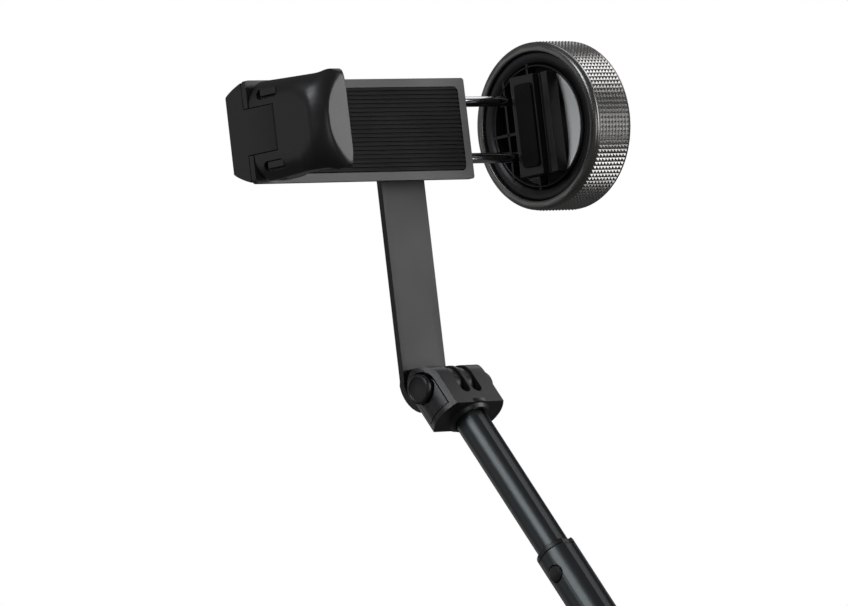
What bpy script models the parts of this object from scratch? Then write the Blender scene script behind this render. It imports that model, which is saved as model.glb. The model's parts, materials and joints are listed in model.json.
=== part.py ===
"""Selfie stick: phone clamp with a round knurled head, tilting arm and telescopic pole.

Frame: metres, +Z up along the pole, origin at the centre of the handle's bottom face.
The phone faces -Y.  Everything above the fork hinge is modelled in a tilted frame
(HEAD_TILT forward of the pole), with the clamp's own frame inside it: x along the rods
from the left end, y backwards from the pad's face, z up from the clamp's centre line.
"""
import math

import bmesh
import bpy
from mathutils import Matrix, Vector

MM = 0.001

# ---------------------------------------------------------------- driving dimensions
GAP = 0.2 * MM                      # between faces that touch on the real thing
HEAD_TILT = math.radians(33.8)      # arm and clamp lean forward of the pole

# telescopic pole: outer radius of each section, thinnest first
TUBE_R = {1: 3.9 * MM, 2: 4.9 * MM, 3: 5.95 * MM, 4: 7.0 * MM}
TUBE_WALL = 0.75 * MM
TUBE_PLAY = 0.3 * MM                # radial play between one tube and the next
KEYWAY_HALF = 1.5 * MM              # half width of the groove that stops tubes turning
KEYWAY_DEPTH = 0.45 * MM
KEYWAY_STEPS = (-1, -0.5, 0, 0.5, 1)    # points across the groove's floor
COLLAR_HEIGHT = 1.2 * MM
PLUG_HEIGHT = 2.8 * MM
HANDLE_TOP = 126 * MM
TUBE_TOP = {4: 134 * MM, 3: 146 * MM, 2: 180 * MM}      # collar tops at rest
TUBE_FOOT = {4: 22 * MM, 3: 37 * MM, 2: 73.5 * MM, 1: 117 * MM}
TUBE_1_EXPOSED = 41.2 * MM

# handle
HANDLE_R = 13 * MM
HANDLE_BORE = 11.6 * MM
GUIDE_R = 8.1 * MM                  # liner tube inside the handle
GRIP_R = 14.4 * MM
END_CAP_HEIGHT = 8 * MM
REMOTE_Z = 98 * MM                  # centre height of the remote in the handle's front
REMOTE_SIZE = (13 * MM, 34 * MM)    # width across, height
BUTTON_R = 4.4 * MM

# fork at the top of tube 1
FORK_R = 5.25 * MM                  # half depth, and radius of its round top
FORK_DROP = 8.8 * MM                # hinge axis down to the fork's bottom face
FORK_HALF = 7.7 * MM                # half width at its front face
FORK_BULGE = 2.0 * MM               # each side bows out this much
BOW_STEPS = 8
COVER_THICK = 0.8 * MM              # side cover let into each bowed side
COVER_INSET = 1.25 * MM
CAP_HOLE_R = 3.7 * MM               # hole in a side cover round the hinge cap
WELL_R = 3.3 * MM
SLOT_CENTRE = 1.9 * MM
SLOT_WIDTH = 2.9 * MM
SLOT_DROP = 5.6 * MM
HINGE_Z = TUBE_TOP[2] + TUBE_1_EXPOSED + FORK_DROP
BOLT_R = 1.4 * MM
WELL_FLOOR = 5.6 * MM               # bolt wells in the fork's sides, from the middle
FINGER_R = 4.75 * MM
FINGER_WIDTH = 2.4 * MM

# arm
ARM_HALF = 7.15 * MM
ARM_BACK = 7.8 * MM                 # arm's front face behind the hinge axis
ARM_THICK = 1.5 * MM
HEEL_CENTRE = (1.0 * MM, 3.0 * MM)  # behind and above the hinge axis
HEEL_R = 8.6 * MM
HEEL_SWEEP = math.radians(71)
RIVET_X = 3.6 * MM
RIVET_Z = 4.0 * MM
SEAT_R = 5.6 * MM                   # nothing of the arm comes nearer the hinge axis

# clamp
CLAMP_RISE = 61.3 * MM              # hinge axis up to the clamp's centre line
ARM_X = 55.2 * MM                   # arm's centre from the clamp's left end
PIVOT_X = 54.9 * MM
PIVOT_Z = 0.4 * MM
CLAMP_LONG = 71.4 * MM
CLAMP_HALF = 12 * MM
CLAMP_DEPTH = 7.1 * MM
BACK_HALF = 8.9 * MM                # half height of the flat back
CORNER_POWER = 1.6                  # 1 rounds the back corners fully, 2 cuts them straight
FRONT_PLATE = 1.4 * MM
END_BLOCK_LONG = 8.0 * MM
CAVITY_HALF = 9.2 * MM
CAVITY_BACK = 5.6 * MM
BORDER = 2.0 * MM
BORDER_RIGHT = 2.3 * MM
PAD_LEFT = 9.6 * MM
PAD_SUNK = 0.9 * MM
RIB_PITCH = 1.0 * MM
RIB_COUNT = 20
RIB_WIDTH = 0.6 * MM
RIB_HEIGHT = 0.45 * MM

# left jaw
TONGUE_HALF = 5.3 * MM
TONGUE_OUT = 8.1 * MM
TONGUE_LONG = 7.1 * MM
TONGUE_ROUND = 3.1 * MM             # its free corner is round about the jaw's pin
PIN_X = 4.0 * MM
PIN_OUT = 5.0 * MM
PIN_R = 0.9 * MM
PIN_HALF = 11.0 * MM
JAW_LOW = 0.3 * MM                  # the jaw sits this far below the centre line

# sliding rods and round head
ROD_R = 1.25 * MM
ROD_Z = 6.75 * MM
ROD_BACK = 3.2 * MM
ROD_START = 25.8 * MM
BRIDGE_X = (26.0 * MM, 29.5 * MM)
SPRING_R = 1.53 * MM
SPRING_WIRE = 0.19 * MM
SPRING_TURNS = 8
HEAD_X = 92.3 * MM
HEAD_OUT = 1.4 * MM                 # head's axis in front of the pad's face
HEAD_R = 20.2 * MM
BEZEL_IN = 17.8 * MM
BEZEL_THICK = 1.2 * MM
RING_WIDTH = 10.5 * MM
DISC_R = 17.5 * MM
DISC_THICK = 3.2 * MM
JAW_BAR_X = 88.2 * MM
JAW_BAR_OUT = 6.3 * MM
LEDGE_OUT = (8.2 * MM, 10.2 * MM)

ROUND = 32                          # facets round a full circle


# ---------------------------------------------------------------- helpers
def clear_scene():
    for old in list(bpy.data.objects):
        bpy.data.objects.remove(old, do_unlink=True)


def material(name, colour, roughness, metallic=0.0):
    made = bpy.data.materials.get(name) or bpy.data.materials.new(name)
    made.use_nodes = True
    shader = made.node_tree.nodes["Principled BSDF"]
    shader.inputs["Base Color"].default_value = (*colour, 1)
    shader.inputs["Roughness"].default_value = roughness
    shader.inputs["Metallic"].default_value = metallic
    return made


def black_plastic():
    return material("black_plastic", (0.018, 0.018, 0.019), 0.42)


def dark_metal():
    return material("dark_metal", (0.075, 0.076, 0.078), 0.38, 0.8)


def grey_metal():
    return material("grey_metal", (0.12, 0.12, 0.12), 0.45, 0.7)


def steel():
    return material("steel", (0.55, 0.55, 0.56), 0.2, 1.0)


def rubber():
    return material("rubber", (0.02, 0.02, 0.02), 0.75)


def board_green():
    return material("board_green", (0.02, 0.11, 0.05), 0.5)


def empty(name, place, parent=None, tilt=0.0):
    made = bpy.data.objects.new(name, None)
    bpy.context.collection.objects.link(made)
    made.location = place
    made.rotation_euler = (tilt, 0, 0)
    made.parent = parent
    return made


def node(name, bm, finish, parent=None, place=(0, 0, 0), smooth=30):
    """Turns a bmesh into a named object with its faces pointing out."""
    bmesh.ops.recalc_face_normals(bm, faces=bm.faces[:])
    mesh = bpy.data.meshes.new(name)
    bm.to_mesh(mesh)
    bm.free()
    mesh.shade_smooth()
    mesh.set_sharp_from_angle(angle=math.radians(smooth))
    made = bpy.data.objects.new(name, mesh)
    bpy.context.collection.objects.link(made)
    made.location = place
    made.parent = parent
    if finish is not None:
        mesh.materials.append(finish)
    return made


def cutter(name, bm, parent=None, place=(0, 0, 0)):
    made = node(name, bm, None, parent, place)
    made.hide_render = True
    made.display_type = "WIRE"
    return made


def combine(target, tool, how="DIFFERENCE"):
    step = target.modifiers.new(tool.name, "BOOLEAN")
    step.operation = how
    step.object = tool


def prism(outline, low, high, axis="z"):
    """Extrudes a closed outline; axis is the direction it is pushed along."""
    order = {"x": lambda a, b, c: (c, a, b), "y": lambda a, b, c: (a, c, b),
             "z": lambda a, b, c: (a, b, c)}[axis]
    bm = bmesh.new()
    base = [bm.verts.new(order(a, b, low)) for a, b in outline]
    face = bm.faces.new(base)
    pushed = bmesh.ops.extrude_face_region(bm, geom=[face])
    moved = [v for v in pushed["geom"] if isinstance(v, bmesh.types.BMVert)]
    bmesh.ops.translate(bm, verts=moved, vec=order(0, 0, high - low))
    return bm


def sleeve(outer, inner, low, high):
    """A tube between two outlines with the same number of points, along z."""
    bm = bmesh.new()
    count = len(outer)
    rings = [[bm.verts.new((x, y, z)) for x, y in line]
             for line, z in ((outer, low), (outer, high), (inner, high), (inner, low))]
    for a, b in zip(rings, rings[1:] + rings[:1]):
        for i in range(count):
            j = (i + 1) % count
            bm.faces.new((a[i], a[j], b[j], b[i]))
    return bm


def turned(profile, axis="z", facets=ROUND):
    """Spins a closed profile of (radius, height) points; points at radius 0 lie on the axis."""
    bm = bmesh.new()
    line = [bm.verts.new((r, 0, h)) for r, h in profile]
    edges = [bm.edges.new((a, b)) for a, b in zip(line, line[1:] + line[:1])
             if a.co.x > 0 or b.co.x > 0]
    bmesh.ops.spin(bm, geom=line + edges, cent=(0, 0, 0), axis=(0, 0, 1),
                   angle=math.tau, steps=facets, use_merge=True)
    bmesh.ops.remove_doubles(bm, verts=bm.verts[:], dist=1e-7)
    turn = {"z": None, "x": ((0, 1, 0), math.pi / 2), "y": ((1, 0, 0), -math.pi / 2)}[axis]
    if turn:
            bmesh.ops.rotate(bm, verts=bm.verts[:], cent=(0, 0, 0),
                         matrix=Matrix.Rotation(turn[1], 3, turn[0]))
    return bm


def circle(radius, count=ROUND, centre=(0, 0), start=0.0):
    return [(centre[0] + radius * math.cos(start + math.tau * i / count),
             centre[1] + radius * math.sin(start + math.tau * i / count))
            for i in range(count)]


def arc(centre, radius, start, end, count):
    """Points along an arc, angles in degrees."""
    return [(centre[0] + radius * math.cos(math.radians(start + (end - start) * i / count)),
             centre[1] + radius * math.sin(math.radians(start + (end - start) * i / count)))
            for i in range(count + 1)]


def rounded_box(low, high, radii, steps=4):
    """Rectangle outline with a radius for each corner: low-low, high-low, high-high, low-high."""
    corners = [((low[0], low[1]), (1, 1), 180), ((high[0], low[1]), (-1, 1), 270),
               ((high[0], high[1]), (-1, -1), 0), ((low[0], high[1]), (1, -1), 90)]
    line = []
    for ((x, y), (sx, sy), start), r in zip(corners, radii):
        line += arc((x + sx * r, y + sy * r), r, start, start + 90, steps)
    return line


# ---------------------------------------------------------------- handle
def build_handle():
    shell = node("handle_shell", sleeve(circle(HANDLE_R), circle(HANDLE_BORE),
                                        END_CAP_HEIGHT + GAP, HANDLE_TOP - 8 * MM),
                 black_plastic())
    wide, tall = REMOTE_SIZE
    window = prism(rounded_box((-wide / 2, REMOTE_Z - tall / 2), (wide / 2, REMOTE_Z + tall / 2),
                               [4 * MM] * 4), -20 * MM, -8 * MM, "y")
    combine(shell, cutter("remote_window_cut", window))

    liner_in = TUBE_R[4] + TUBE_PLAY
    node("guide_liner", sleeve(circle(GUIDE_R), circle(liner_in),
                               END_CAP_HEIGHT + 1 * MM, HANDLE_TOP - 8 * MM - GAP), grey_metal())

    grip_low, grip_high = END_CAP_HEIGHT + 2 * MM, REMOTE_Z - tall / 2 - 3 * MM
    inner, edge = HANDLE_R + GAP, 0.8 * MM
    profile = [(inner, grip_high), (GRIP_R - edge, grip_high), (GRIP_R, grip_high - edge),
               (GRIP_R, grip_low + edge), (GRIP_R - edge, grip_low), (inner, grip_low)]
    node("grip_sleeve", turned(profile), rubber())

    top = HANDLE_TOP
    collar = [(liner_in, top), (HANDLE_R - 1.2 * MM, top), (HANDLE_R + 0.2 * MM, top - 1.4 * MM),
              (HANDLE_R + 0.2 * MM, top - 7.8 * MM), (liner_in, top - 7.8 * MM)]
    node("handle_collar", turned(collar), dark_metal())

    cap = [(0, END_CAP_HEIGHT), (HANDLE_R, END_CAP_HEIGHT), (HANDLE_R + 0.4 * MM, 6 * MM),
           (HANDLE_R + 0.4 * MM, 1.2 * MM), (HANDLE_R - 0.8 * MM, 0), (0, 0)]
    node("end_cap", turned(cap), black_plastic())


def build_remote():
    """The shutter remote in the handle's front: case, back, board, coin cell, switch, button."""
    wide, tall = REMOTE_SIZE
    case_w, case_h = wide / 2 - GAP, tall / 2 - GAP
    case = node("remote_case",
                prism(rounded_box((-case_w, REMOTE_Z - case_h), (case_w, REMOTE_Z + case_h),
                                  [3.8 * MM] * 4), -14.2 * MM, -12.4 * MM, "y"), black_plastic())
    hole = turned([(0, 3 * MM), (BUTTON_R + 0.15 * MM, 3 * MM),
                   (BUTTON_R + 0.15 * MM, -3 * MM), (0, -3 * MM)], "y")
    combine(case, cutter("remote_button_cut", hole, None, (0, -13.3 * MM, REMOTE_Z + 7 * MM)))
    node("remote_back",
         prism(rounded_box((-case_w + 0.4 * MM, REMOTE_Z - case_h + 0.4 * MM),
                           (case_w - 0.4 * MM, REMOTE_Z + case_h - 0.4 * MM), [3 * MM] * 4),
               -9.3 * MM, -8.6 * MM, "y"), black_plastic())
    node("remote_board",
         prism(rounded_box((-5.4 * MM, REMOTE_Z - 14.5 * MM), (5.4 * MM, REMOTE_Z + 14.5 * MM),
                           [1 * MM] * 4, 2), -12.1 * MM, -11.4 * MM, "y"), board_green())
    cell = turned([(0, 0.8 * MM), (5.0 * MM, 0.8 * MM), (5.0 * MM, -0.8 * MM), (0, -0.8 * MM)], "y")
    node("coin_cell", cell, steel(), None, (0, -10.4 * MM, REMOTE_Z - 7 * MM))
    dome = turned([(0, 0.15 * MM), (2.0 * MM, 0.15 * MM), (1.6 * MM, -0.1 * MM),
                   (0, -0.35 * MM)], "y", 20)
    node("button_dome", dome, steel(), None, (0, -12.35 * MM, REMOTE_Z + 7 * MM))
    cap = turned([(0, 1.0 * MM), (BUTTON_R, 1.0 * MM), (BUTTON_R, -0.5 * MM),
                  (BUTTON_R - 0.5 * MM, -0.95 * MM), (0, -1.15 * MM)], "y", 32)
    node("shutter_button", cap, grey_metal(), None, (0, -14.3 * MM, REMOTE_Z + 7 * MM))


# ---------------------------------------------------------------- pole
def keyed_circle(radius, half, depth, count=34):
    """A circle with a flat-bottomed groove of the given half width cut into its -Y side."""
    edge = math.asin(half / radius)
    start, end = -math.pi / 2 + edge, 1.5 * math.pi - edge
    line = [(radius * math.cos(start + (end - start) * i / count),
             radius * math.sin(start + (end - start) * i / count)) for i in range(count + 1)]
    floor = -(radius * math.cos(edge) - depth)
    return line + [(half * share, floor) for share in KEYWAY_STEPS]


def matching_circle(radius, outline):
    """A plain circle whose points stand behind those of another outline."""
    angles = [math.atan2(y, x) for x, y in outline]
    return [(radius * math.cos(a), radius * math.sin(a)) for a in angles]


def keyed_bore(radius, outline, half, depth):
    """A circle with a key standing inwards on its -Y side, point for point like outline."""
    line = matching_circle(radius, outline)
    count = len(KEYWAY_STEPS)
    line[-count:] = [(half * share, -(radius - depth)) for share in KEYWAY_STEPS]
    foot = -math.sqrt(radius ** 2 - half ** 2)
    line[-count - 1] = (-half - 0.05 * MM, foot)
    line[0] = (half + 0.05 * MM, foot)
    return line


def build_tube(index, foot, top, wall):
    outer = keyed_circle(TUBE_R[index], KEYWAY_HALF, KEYWAY_DEPTH)
    inner = matching_circle(TUBE_R[index] - wall, outer)
    return node(f"tube_{index}", sleeve(outer, inner, foot, top), dark_metal())


def build_pole():
    for index in (4, 3, 2):
        top = TUBE_TOP[index] - COLLAR_HEIGHT
        tube = build_tube(index, TUBE_FOOT[index], top - GAP, TUBE_WALL)
        outer = keyed_circle(TUBE_R[index], KEYWAY_HALF, KEYWAY_DEPTH)
        bore = keyed_bore(TUBE_R[index - 1] + 0.2 * MM, outer, KEYWAY_HALF - 0.3 * MM, 0.4 * MM)
        node(f"collar_{index}", sleeve(outer, bore, top, TUBE_TOP[index]), black_plastic())
        build_plug(index, TUBE_R[index] + TUBE_PLAY - 0.1 * MM, TUBE_R[index] - 1.5 * MM)
        if index == 2:
            hole = turned([(0, 2 * MM), (2.2 * MM, 2 * MM), (2.2 * MM, -2 * MM), (0, -2 * MM)],
                          "x", 20)
            combine(tube, cutter("lock_button_cut", hole, None,
                                 (-TUBE_R[2], 0, TUBE_TOP[2] - 6.9 * MM)))
    build_tube(1, TUBE_FOOT[1], HINGE_Z - FORK_DROP - GAP, 1.0 * MM)
    build_plug(1, TUBE_R[1] + TUBE_PLAY - 0.1 * MM, 1.6 * MM)
    button = turned([(0, 0.35 * MM), (2.0 * MM, 0.35 * MM), (2.0 * MM, -0.2 * MM),
                     (1.75 * MM, -0.35 * MM), (0, -0.4 * MM)], "x", 20)
    node("lock_button", button, black_plastic(), None,
         (-TUBE_R[2] + 0.2 * MM, 0, TUBE_TOP[2] - 6.9 * MM))


def build_plug(index, outer, inner):
    foot = TUBE_FOOT[index] - GAP
    profile = [(inner, foot), (outer, foot), (outer, foot - PLUG_HEIGHT + GAP),
               (inner, foot - PLUG_HEIGHT + GAP)]
    node(f"guide_plug_{index}", turned(profile), black_plastic())


# ---------------------------------------------------------------- fork and hinge
def fork_profile(inset=0.0):
    """Side view (y, z) about the hinge axis: flat front and back, round top."""
    r, drop = FORK_R - inset, FORK_DROP - inset
    return [(-r, -drop), (r, -drop)] + arc((0, 0), r, 0, 180, 16)


def bow_out(y):
    """How far a side stands out at y behind the hinge axis."""
    return FORK_BULGE * (1 - min(1.0, abs(y) / FORK_R) ** 2)


def bulged_plan(half, depth=FORK_R + 1 * MM):
    """Plan view (x, y): both sides bow out towards the middle of the depth."""
    ys = [-depth + 2 * depth * i / BOW_STEPS for i in range(BOW_STEPS + 1)]
    return ([(half + bow_out(y), y) for y in ys]
            + [(-half - bow_out(y), y) for y in reversed(ys)])


def build_fork(hinge):
    """The fork block; its many crossing cuts need the MANIFOLD solver to stay closed."""
    fork = node("fork_block", prism(fork_profile(), -12 * MM, 12 * MM, "x"),
                black_plastic(), hinge)
    combine(fork, cutter("fork_plan", prism(bulged_plan(FORK_HALF), -15 * MM, 15 * MM), hinge),
            "INTERSECT")
    boss = turned([(0, -FORK_DROP + 1 * MM), (5.0 * MM, -FORK_DROP + 1 * MM),
                   (4.9 * MM, -FORK_DROP - 0.3 * MM), (4.4 * MM, -FORK_DROP - 1.1 * MM),
                   (0, -FORK_DROP - 1.1 * MM)])
    combine(fork, cutter("fork_boss", boss, hinge), "UNION")
    socket = turned([(0, -FORK_DROP - GAP / 2), (TUBE_R[1] + 0.15 * MM, -FORK_DROP - GAP / 2),
                     (TUBE_R[1] + 0.15 * MM, -12 * MM), (0, -12 * MM)])
    combine(fork, cutter("fork_socket_cut", socket, hinge))
    for side in (-1, 1):
        half = SLOT_WIDTH / 2
        mid = side * SLOT_CENTRE
        slot = [(mid + half, 8 * MM), (mid - half, 8 * MM)]
        slot += arc((mid, -SLOT_DROP + half), half, 180, 360, 10)
        combine(fork, cutter(f"slot_cut_{side}", prism(slot, -8 * MM, 8 * MM, "y"), hinge))
        well = turned([(0, 16 * MM), (WELL_R, 16 * MM), (WELL_R, WELL_FLOOR), (0, WELL_FLOOR)],
                      "x", 20)
        if side < 0:
            bmesh.ops.scale(well, vec=(-1, 1, 1), verts=well.verts[:])
        combine(fork, cutter(f"bolt_well_{side}", well, hinge))
        pocket = side_slab(side, FORK_HALF - COVER_THICK, COVER_INSET)
        combine(fork, cutter(f"side_pocket_{side}", pocket, hinge))
        build_side_cover(side, hinge)
    bore = turned([(0, 10 * MM), (BOLT_R + 0.2 * MM, 10 * MM), (BOLT_R + 0.2 * MM, -10 * MM),
                   (0, -10 * MM)], "x", 20)
    combine(fork, cutter("hinge_bore_cut", bore, hinge))
    relief = [(5.9 * MM, 0.4 * MM), (6.6 * MM, 0.4 * MM), (6.6 * MM, -5.6 * MM),
              (3.0 * MM, -5.6 * MM)]
    relief += arc((0, 0), 5.28 * MM, -57, -2, 8)
    combine(fork, cutter("heel_relief_cut", prism(relief, -7.4 * MM, 7.4 * MM, "x"), hinge))
    for step in fork.modifiers:
        step.solver = "MANIFOLD"
    build_hinge_bolt(hinge)


def side_slab(side, half, inset):
    """The fork's side view, set in by inset, from a bowed seat out past the fork."""
    far = side * 12 * MM
    outline = fork_profile(inset)
    bm = bmesh.new()
    inner = [bm.verts.new((side * (half + bow_out(y)), y, z)) for y, z in outline]
    outer = [bm.verts.new((far, y, z)) for y, z in outline]
    bm.faces.new(outer)
    pairs = list(zip(range(len(outline)), [*range(1, len(outline)), 0]))
    for i, j in pairs:
        bm.faces.new((inner[i], inner[j], outer[j], outer[i]))
    rim = [bm.edges.get((inner[i], inner[j])) for i, j in pairs]
    bmesh.ops.triangle_fill(bm, use_beauty=True, edges=rim)
    return bm


def build_side_cover(side, hinge):
    word = "left" if side < 0 else "right"
    slab = side_slab(side, FORK_HALF - COVER_THICK + GAP, COVER_INSET + 0.25 * MM)
    cover = node(f"side_cover_{word}", slab, black_plastic(), hinge)
    plan = prism(bulged_plan(FORK_HALF), -15 * MM, 15 * MM)
    combine(cover, cutter(f"cover_plan_{word}", plan, hinge), "INTERSECT")
    hole = turned([(0, 12 * MM), (CAP_HOLE_R, 12 * MM), (CAP_HOLE_R, -12 * MM), (0, -12 * MM)],
                  "x", 20)
    combine(cover, cutter(f"cover_hole_{word}", hole, hinge))


def build_hinge_bolt(hinge):
    shank = [(0, 7.4 * MM), (BOLT_R, 7.4 * MM), (BOLT_R, -5.8 * MM), (2.6 * MM, -5.8 * MM),
             (2.6 * MM, -7.4 * MM), (1.1 * MM, -7.4 * MM), (1.1 * MM, -6.5 * MM), (0, -6.5 * MM)]
    node("hinge_bolt", turned(shank, "x", 20), steel(), hinge)
    nut_bore = BOLT_R + 0.35 * MM
    nut = turned([(nut_bore, 7.3 * MM), (2.9 * MM, 7.3 * MM), (2.9 * MM, 5.8 * MM),
                  (nut_bore, 5.8 * MM)], "x", 6)
    node("hinge_nut", nut, steel(), hinge)
    face = FORK_HALF + FORK_BULGE
    for side, word in ((-1, "left"), (1, "right")):
        cap = [(0, -1.4 * MM), (3.1 * MM, -1.4 * MM), (3.1 * MM, 0.2 * MM), (3.5 * MM, 0.2 * MM),
               (3.5 * MM, 0.9 * MM), (3.1 * MM, 1.3 * MM), (2.8 * MM, 1.05 * MM), (0, 1.05 * MM)]
        bm = turned(cap, "x", 20)
        if side < 0:
            bmesh.ops.scale(bm, vec=(-1, 1, 1), verts=bm.verts[:])
        node(f"hinge_cap_{word}", bm, black_plastic(), hinge, (side * face, 0, 0))


# ---------------------------------------------------------------- arm
def arm_section():
    """Side view (y, z) of the bent strip: straight, then curled under the fork."""
    top = CLAMP_RISE + PIVOT_Z + ARM_HALF
    outer = [(ARM_BACK + ARM_THICK, top), (ARM_BACK + ARM_THICK, 3.0 * MM)]
    inner = [(ARM_BACK, top), (ARM_BACK, 3.0 * MM)]
    steps = 10
    cy, cz = HEEL_CENTRE
    for i in range(1, steps + 1):
        turn = HEEL_SWEEP * i / steps
        out = (cy + HEEL_R * math.cos(turn), cz - HEEL_R * math.sin(turn))
        thin = HEEL_R - ARM_THICK
        inn = (cy + thin * math.cos(turn), cz - thin * math.sin(turn))
        reach = math.hypot(*inn)
        if reach < SEAT_R:
            inn = (inn[0] * SEAT_R / reach, inn[1] * SEAT_R / reach)
        outer.append(out)
        inner.append(inn)
    return outer + inner[::-1]


def build_arm(hinge):
    strip = node("arm_strip", prism(arm_section(), -ARM_HALF, ARM_HALF, "x"), grey_metal(), hinge)
    high = CLAMP_RISE + PIVOT_Z
    outline = [(-ARM_HALF, -12 * MM), (ARM_HALF, -12 * MM)]
    outline += arc((0, high), ARM_HALF, 0, 180, 16)
    combine(strip, cutter("arm_outline", prism(outline, 0, 14 * MM, "y"), hinge), "INTERSECT")
    hole = turned([(0, 20 * MM), (2.1 * MM, 20 * MM), (2.1 * MM, 0), (0, 0)], "y", 24)
    pivot_x = PIVOT_X - ARM_X
    combine(strip, cutter("pivot_hole_cut", hole, hinge, (pivot_x, 0, high)))
    for side in (-1, 1):
        rivet_hole = turned([(0, 14 * MM), (0.9 * MM, 14 * MM), (0.9 * MM, 0), (0, 0)], "y", 16)
        combine(strip, cutter(f"rivet_hole_{side}", rivet_hole, hinge, (side * RIVET_X, 0, RIVET_Z)))

    knuckle_outline = [(ARM_BACK - GAP, 5.5 * MM), (ARM_BACK - GAP, 3.2 * MM)]
    steps = 6
    cy, cz = HEEL_CENTRE
    thin = HEEL_R - ARM_THICK - GAP
    for i in range(1, steps + 1):
        turn = math.radians(44) * i / steps
        knuckle_outline.append((cy + thin * math.cos(turn), cz - thin * math.sin(turn)))
    knuckle_outline += arc((0, 0), SEAT_R, -18, 50, 8) + [(5.4 * MM, 5.5 * MM)]
    knuckle = node("arm_knuckle", prism(knuckle_outline, -5.5 * MM, 5.5 * MM, "x"),
                   black_plastic(), hinge)
    for side in (-1, 1):
        low = side * SLOT_CENTRE - FINGER_WIDTH / 2
        finger = circle(FINGER_R, 32)
        disc = prism(finger, low, low + FINGER_WIDTH, "x")
        combine(knuckle, cutter(f"finger_{side}", disc, hinge), "UNION")
        neck = [(3.0 * MM, -2.4 * MM), (5.7 * MM, -1.4 * MM), (6.4 * MM, 4.5 * MM),
                (2.6 * MM, 4.0 * MM)]
        web = prism(neck, low, low + FINGER_WIDTH, "x")
        combine(knuckle, cutter(f"finger_neck_{side}", web, hinge), "UNION")
    bore = turned([(0, 6 * MM), (BOLT_R + 0.15 * MM, 6 * MM), (BOLT_R + 0.15 * MM, -6 * MM),
                   (0, -6 * MM)], "x", 20)
    combine(knuckle, cutter("finger_bore_cut", bore, hinge))
    for side, word in ((-1, "left"), (1, "right")):
        hole = turned([(0, 14 * MM), (0.9 * MM, 14 * MM), (0.9 * MM, 6.0 * MM), (0, 6.0 * MM)],
                      "y", 16)
        place = (side * RIVET_X, 0, RIVET_Z)
        combine(knuckle, cutter(f"knuckle_hole_{side}", hole, hinge, place))
        rivet = turned([(0, 10.1 * MM), (0.9 * MM, 10.0 * MM), (1.5 * MM, 9.5 * MM),
                        (0.7 * MM, 9.5 * MM), (0.7 * MM, 6.2 * MM), (0, 6.2 * MM)], "y", 16)
        node(f"rivet_{word}", rivet, steel(), hinge, place)

    washer_low, washer_high = CLAMP_DEPTH + 0.15 * MM, ARM_BACK - 0.15 * MM
    washer = turned([(2.2 * MM, washer_high), (5.2 * MM, washer_high), (5.2 * MM, washer_low),
                     (2.2 * MM, washer_low)], "y", 24)
    node("pivot_washer", washer, steel(), hinge, (pivot_x, 0, high))
    bolt = turned([(0, 11.0 * MM), (3.4 * MM, 10.9 * MM), (4.3 * MM, 10.3 * MM), (4.3 * MM, 9.5 * MM),
                   (1.9 * MM, 9.5 * MM), (1.9 * MM, 3.0 * MM), (0, 3.0 * MM)], "y", 32)
    node("pivot_bolt", bolt, dark_metal(), hinge, (pivot_x, 0, high))
    nut = turned([(2.3 * MM, 5.3 * MM), (3.6 * MM, 5.3 * MM), (3.6 * MM, 3.3 * MM),
                  (2.3 * MM, 3.3 * MM)], "y", 6)
    node("pivot_nut", nut, steel(), hinge, (pivot_x, 0, high))


# ---------------------------------------------------------------- clamp
def clamp_side(front):
    """End view (y, z) of the clamp's body: flat front, flat back, large back corners."""
    half, deep = CLAMP_HALF, CLAMP_DEPTH
    rise = half - BACK_HALF
    line = []
    steps = 7
    start = math.asin((front / deep) ** (1 / CORNER_POWER))
    for i in range(steps + 1):
        t = start + (math.pi / 2 - start) * i / steps
        line.append((deep * math.sin(t) ** CORNER_POWER,
                     BACK_HALF + rise * max(0.0, math.cos(t)) ** CORNER_POWER))
    lower = [(y, -z) for y, z in reversed(line)]
    return line + lower


def build_clamp(clamp):
    left = END_BLOCK_LONG + GAP
    front = FRONT_PLATE + GAP
    shell = node("clamp_shell", prism(clamp_side(front), left, CLAMP_LONG - GAP, "x"),
                 dark_metal(), clamp)
    cavity = prism([(0, -CAVITY_HALF), (CAVITY_BACK, -CAVITY_HALF), (CAVITY_BACK, CAVITY_HALF),
                    (0, CAVITY_HALF)], left + 1.2 * MM, CLAMP_LONG - 2.4 * MM, "x")
    combine(shell, cutter("clamp_cavity_cut", cavity, clamp))
    for side in (-1, 1):
        hole = turned([(0, 90 * MM), (ROD_R + 0.15 * MM, 90 * MM),
                       (ROD_R + 0.15 * MM, 60 * MM), (0, 60 * MM)], "x", 20)
        combine(shell, cutter(f"rod_hole_cut_{side}", hole, clamp, (0, ROD_BACK, side * ROD_Z)))
    bolt_hole = turned([(0, 12 * MM), (2.1 * MM, 12 * MM), (2.1 * MM, 2 * MM), (0, 2 * MM)], "y", 24)
    combine(shell, cutter("shell_pivot_cut", bolt_hole, clamp, (PIVOT_X, 0, PIVOT_Z)))

    frame = node("front_frame",
                 prism(rounded_box((0, -CLAMP_HALF), (CLAMP_LONG, CLAMP_HALF),
                                   [1 * MM, 0.7 * MM, 0.7 * MM, 1 * MM]), 0, FRONT_PLATE, "y"),
                 grey_metal(), clamp)
    pocket_half = CLAMP_HALF - BORDER
    pocket = prism(rounded_box((PAD_LEFT, -pocket_half), (CLAMP_LONG - BORDER_RIGHT, pocket_half),
                               [1.5 * MM] * 4), -1 * MM, PAD_SUNK, "y")
    combine(frame, cutter("pad_pocket_cut", pocket, clamp))
    notch_half = TONGUE_HALF + GAP
    notch = prism([(-1 * MM, -notch_half), (TONGUE_LONG + GAP, -notch_half),
                   (TONGUE_LONG + GAP, notch_half), (-1 * MM, notch_half)], -2 * MM, 3 * MM, "y")
    combine(frame, cutter("tongue_notch_cut", notch, clamp))
    build_pad(clamp, pocket_half)
    build_end_block(clamp)


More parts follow.
